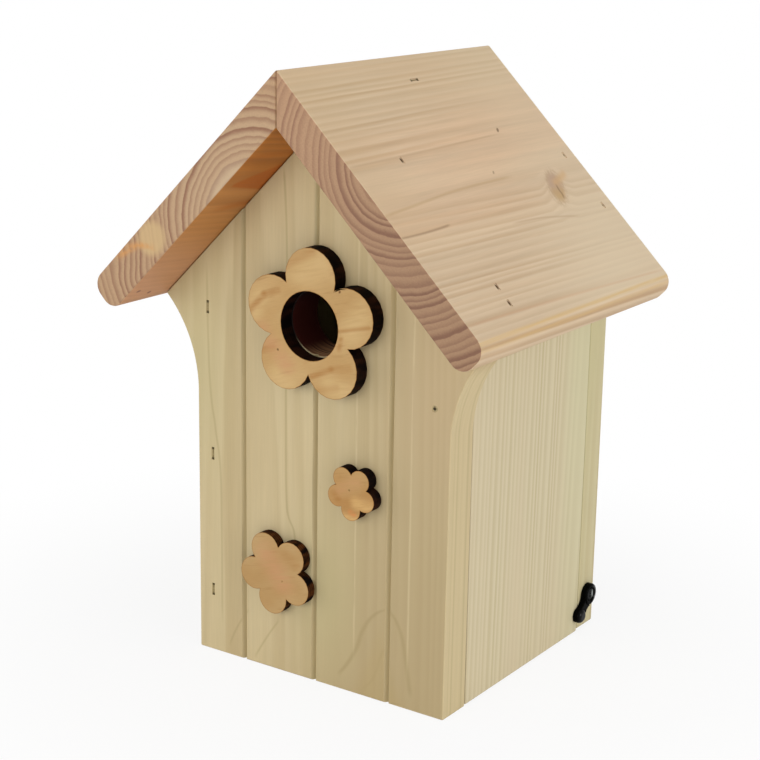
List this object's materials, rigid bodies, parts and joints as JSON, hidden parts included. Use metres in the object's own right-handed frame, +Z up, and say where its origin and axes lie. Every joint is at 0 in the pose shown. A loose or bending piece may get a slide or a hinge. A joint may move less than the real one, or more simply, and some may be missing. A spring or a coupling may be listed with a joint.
{
  "type": "bird nest box",
  "caption": "Gabled wooden bird nest box with a flower-rimmed round entrance, grooved front, round-edged roof boards and a side that swings open behind a turn button.",
  "frame": {"origin": "on the ground plane, at the middle of the box that bounds the whole object, roof included", "axes": "+Z up; -Y is the front, where the entrance is; +X is the side that swings open"},
  "size_m": [0.2104, 0.176, 0.2911],
  "materials": {
    "pale_pine": "bare planed pine, pale greenish yellow",
    "roof_pine": "bare planed pine, pinkish tan",
    "birch_ply": "bare plywood with charred laser-cut edges",
    "steel_wire": "dull dark wire",
    "black_screw": "blackened",
    "black_plastic": "glossy black",
    "zinc_plate": "zinc plated"
  },
  "bodies": {
    "box": {"back_panel": "pale_pine", "back_pivot_nail": "steel_wire", "back_staple_1": "steel_wire", "back_staple_2": "steel_wire", "back_staple_3": "steel_wire", "entrance_flower": "birch_ply", "entrance_flower_brad_1": "steel_wire", "entrance_flower_brad_2": "steel_wire", "floor": "pale_pine", "floor_back_staple_1": "steel_wire", "floor_back_staple_2": "steel_wire", "floor_side_staple_1": "steel_wire", "floor_side_staple_2": "steel_wire", "front_panel": "pale_pine", "front_pivot_nail": "steel_wire", "front_staple_1": "steel_wire", "front_staple_2": "steel_wire", "front_staple_3": "steel_wire", "hanger_screw_1": "steel_wire", "hanger_screw_2": "steel_wire", "hanging_plate": "zinc_plate", "left_wall": "pale_pine", "lower_flower": "birch_ply", "lower_flower_brad": "steel_wire", "ridge_staple": "steel_wire", "roof_left": "roof_pine", "roof_left_nail_1": "steel_wire", "roof_left_nail_2": "steel_wire", "roof_left_nail_3": "steel_wire", "roof_left_nail_4": "steel_wire", "roof_right": "roof_pine", "roof_right_nail_1": "steel_wire", "roof_right_nail_2": "steel_wire", "roof_right_nail_3": "steel_wire", "roof_right_nail_4": "steel_wire", "roof_right_nail_5": "steel_wire", "turn_button_screw": "black_screw", "upper_flower": "birch_ply", "upper_flower_brad": "steel_wire"},
    "side_door": {"side_door": "pale_pine"},
    "turn_button": {"turn_button": "black_plastic"}
  },
  "joints": [
    {"name": "side_door_swing", "type": "hinge", "parent": "box", "child": "side_door", "pos_m": [0.063, 0, 0.1467], "axis": [0, -1, 0], "range_deg": [0, 110]},
    {"name": "turn_button_turn", "type": "hinge", "parent": "box", "child": "turn_button", "pos_m": [0.0718, 0.08, 0.0187], "axis": [1, 0, 0], "range_deg": [-148, 60]}
  ]
}
